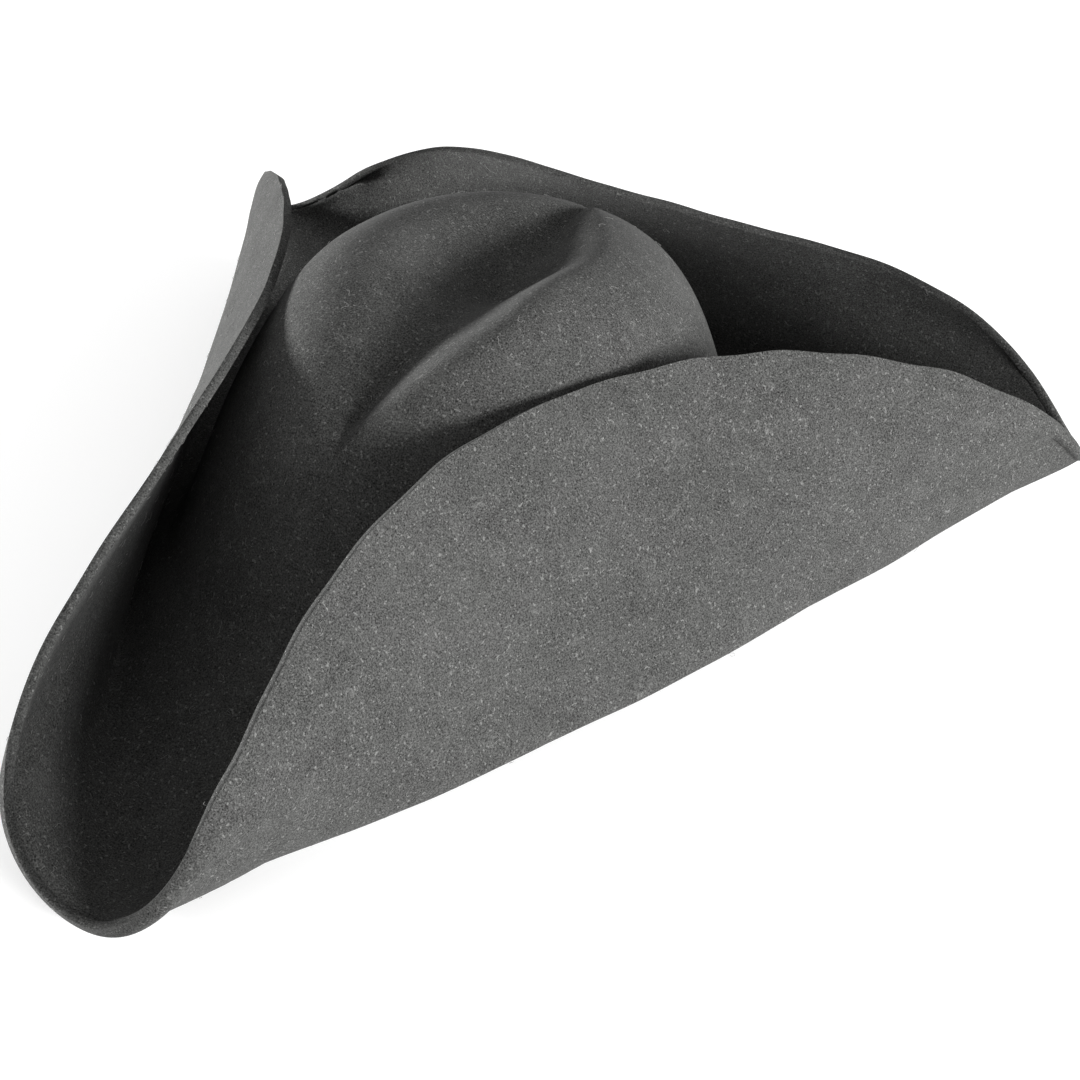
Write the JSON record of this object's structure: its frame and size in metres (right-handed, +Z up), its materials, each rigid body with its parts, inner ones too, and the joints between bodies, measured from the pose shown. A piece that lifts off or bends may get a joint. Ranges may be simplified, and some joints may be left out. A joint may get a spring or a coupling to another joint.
{
  "type": "pirate hat",
  "caption": "Black felt tricorn pirate hat: creased crown, wide brim turned up on three sides, sweatband inside.",
  "frame": {"origin": "centre of the hat's bounding box on the surface that it rests on", "axes": "+Z up, the hat resting on its front corner and its back fold; the front corner points along -Y; +X is the wearer's left"},
  "size_m": [0.335, 0.3524, 0.1206],
  "materials": {
    "felt": "matt wool felt",
    "sweatband": "smooth imitation leather",
    "reed": "semi-clear plastic",
    "ribbon": "ribbed ribbon",
    "thread": "sewing thread",
    "label": "blank woven label"
  },
  "bodies": {
    "root": {"crown": "felt", "brim_base": "felt", "sweatband": "sweatband", "sweatband_reed": "reed", "reed_tape": "ribbon", "sweatband_stitches": "thread", "back_seam_tape": "ribbon", "inner_bow": "ribbon", "size_label": "label"},
    "left_side": {"left_flap": "felt"},
    "right_side": {"right_flap": "felt"},
    "back_side": {"back_flap": "felt"}
  },
  "joints": [
    {"name": "left_fold", "type": "hinge", "parent": "root", "child": "left_side", "pos_m": [0.0961, -0.0045, 0.0388], "axis": [0.3965, 0.9172, 0.0386], "range_deg": [0, 14], "stiffness_Nm_per_rad": 0.6},
    {"name": "right_fold", "type": "hinge", "parent": "root", "child": "right_side", "pos_m": [-0.0961, -0.0045, 0.0388], "axis": [0.3965, -0.9172, -0.0386], "range_deg": [0, 14], "stiffness_Nm_per_rad": 0.6},
    {"name": "back_fold", "type": "hinge", "parent": "root", "child": "back_side", "pos_m": [0, 0.1703, 0.0285], "axis": [-1, 0, 0], "range_deg": [-8, 14], "stiffness_Nm_per_rad": 0.6}
  ]
}
